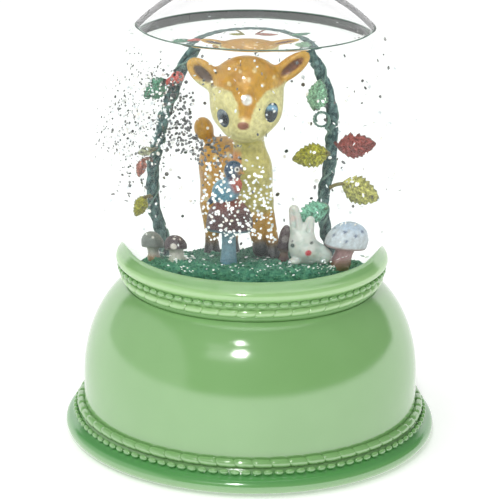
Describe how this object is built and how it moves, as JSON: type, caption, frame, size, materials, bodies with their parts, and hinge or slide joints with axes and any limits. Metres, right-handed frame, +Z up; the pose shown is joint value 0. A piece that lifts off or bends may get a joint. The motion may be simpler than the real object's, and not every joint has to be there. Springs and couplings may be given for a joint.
{
  "type": "snow globe",
  "caption": "Liquid-filled glass globe with a woodland scene, on a round lit plastic base with rope and bead mouldings.",
  "frame": {"origin": "centre of the ring of feet, on the surface that the object stands on", "axes": "+Z up through the globe; -Y is the front, where the fawn looks; +X is the viewer's right"},
  "size_m": [0.1148, 0.1148, 0.142],
  "materials": {
    "jade_gloss": "glossy moulded",
    "plate_plastic": "matte moulded",
    "steel": "plated",
    "soft_rubber": "matte",
    "spring_steel": "nickel plated",
    "black_plastic": "matte",
    "board": "white solder mask",
    "lamp": "white case with a yellow window",
    "clear_glass": "clear blown glass",
    "liquid": "clear liquid",
    "clear_rubber": "translucent silicone",
    "moss_resin": "painted resin, rough as moss",
    "glitter": "silver foil",
    "red_wire": "insulation",
    "black_wire": "insulation",
    "vine": "twisted cord over wire",
    "fawn_paint": "painted resin",
    "bird_paint": "painted resin",
    "rabbit_paint": "painted resin",
    "red_cap": "painted resin",
    "plum_cap": "painted resin",
    "blue_cap": "painted resin",
    "brown_cap": "painted resin",
    "grey_cap": "painted resin",
    "berry": "painted",
    "leaf_green": "cut felt",
    "leaf_red": "cut felt",
    "leaf_olive": "cut felt",
    "cell_sleeve": "printed sleeve"
  },
  "bodies": {
    "globe_base": {"base_housing": "jade_gloss", "base_plate": "plate_plastic", "berry_red": "berry", "blue_mushroom": "blue_cap", "board_parts": "black_plastic", "board_screws": "steel", "brown_mushroom": "brown_cap", "cell_1": "cell_sleeve", "cell_2": "cell_sleeve", "cell_3": "cell_sleeve", "collar_ring": "jade_gloss", "contact_plates": "spring_steel", "contact_springs": "spring_steel", "fawn": "fawn_paint", "glitter_flakes": "glitter", "globe_glass": "clear_glass", "grey_mushroom": "grey_cap", "ground_mound": "moss_resin", "lead_feed": "red_wire", "lead_return": "black_wire", "lead_switched": "red_wire", "leaf_green_left": "leaf_green", "leaf_green_right": "leaf_green", "leaf_olive_left": "leaf_olive", "leaf_olive_right": "leaf_olive", "leaf_pale_left": "leaf_red", "leaf_pink_left": "leaf_red", "leaf_russet_right": "leaf_red", "leaf_teal_low": "leaf_green", "leaf_top_left": "leaf_olive", "leaf_top_mid": "leaf_red", "leaf_top_right": "leaf_green", "leaf_yellow_right": "leaf_olive", "led_board": "board", "leds": "lamp", "liquid_fill": "liquid", "neck_bond": "clear_rubber", "neck_stopper": "clear_rubber", "plate_screws": "steel", "rabbit": "rabbit_paint", "red_mushroom": "red_cap", "rubber_feet": "soft_rubber", "songbird": "bird_paint", "switch_case": "black_plastic", "tall_mushroom": "plum_cap", "vine_arch": "vine", "vine_tendril": "vine"},
    "switch_slider": {"switch_knob": "black_plastic"},
    "battery_cover": {"battery_door": "plate_plastic"},
    "cover_screw": {"door_screw": "steel"}
  },
  "joints": [
    {"name": "power_switch", "type": "slide", "parent": "globe_base", "child": "switch_slider", "axis": [1, 0, 0], "range_m": [0, 0.003]},
    {"name": "battery_cover_lift", "type": "slide", "parent": "globe_base", "child": "battery_cover", "axis": [0, 0, -1], "range_m": [0, 0.025]},
    {"name": "cover_screw_turn", "type": "hinge", "parent": "battery_cover", "child": "cover_screw", "pos_m": [-0.0308, 0, 0.0016], "axis": [0, 0, 1], "continuous": true}
  ]
}
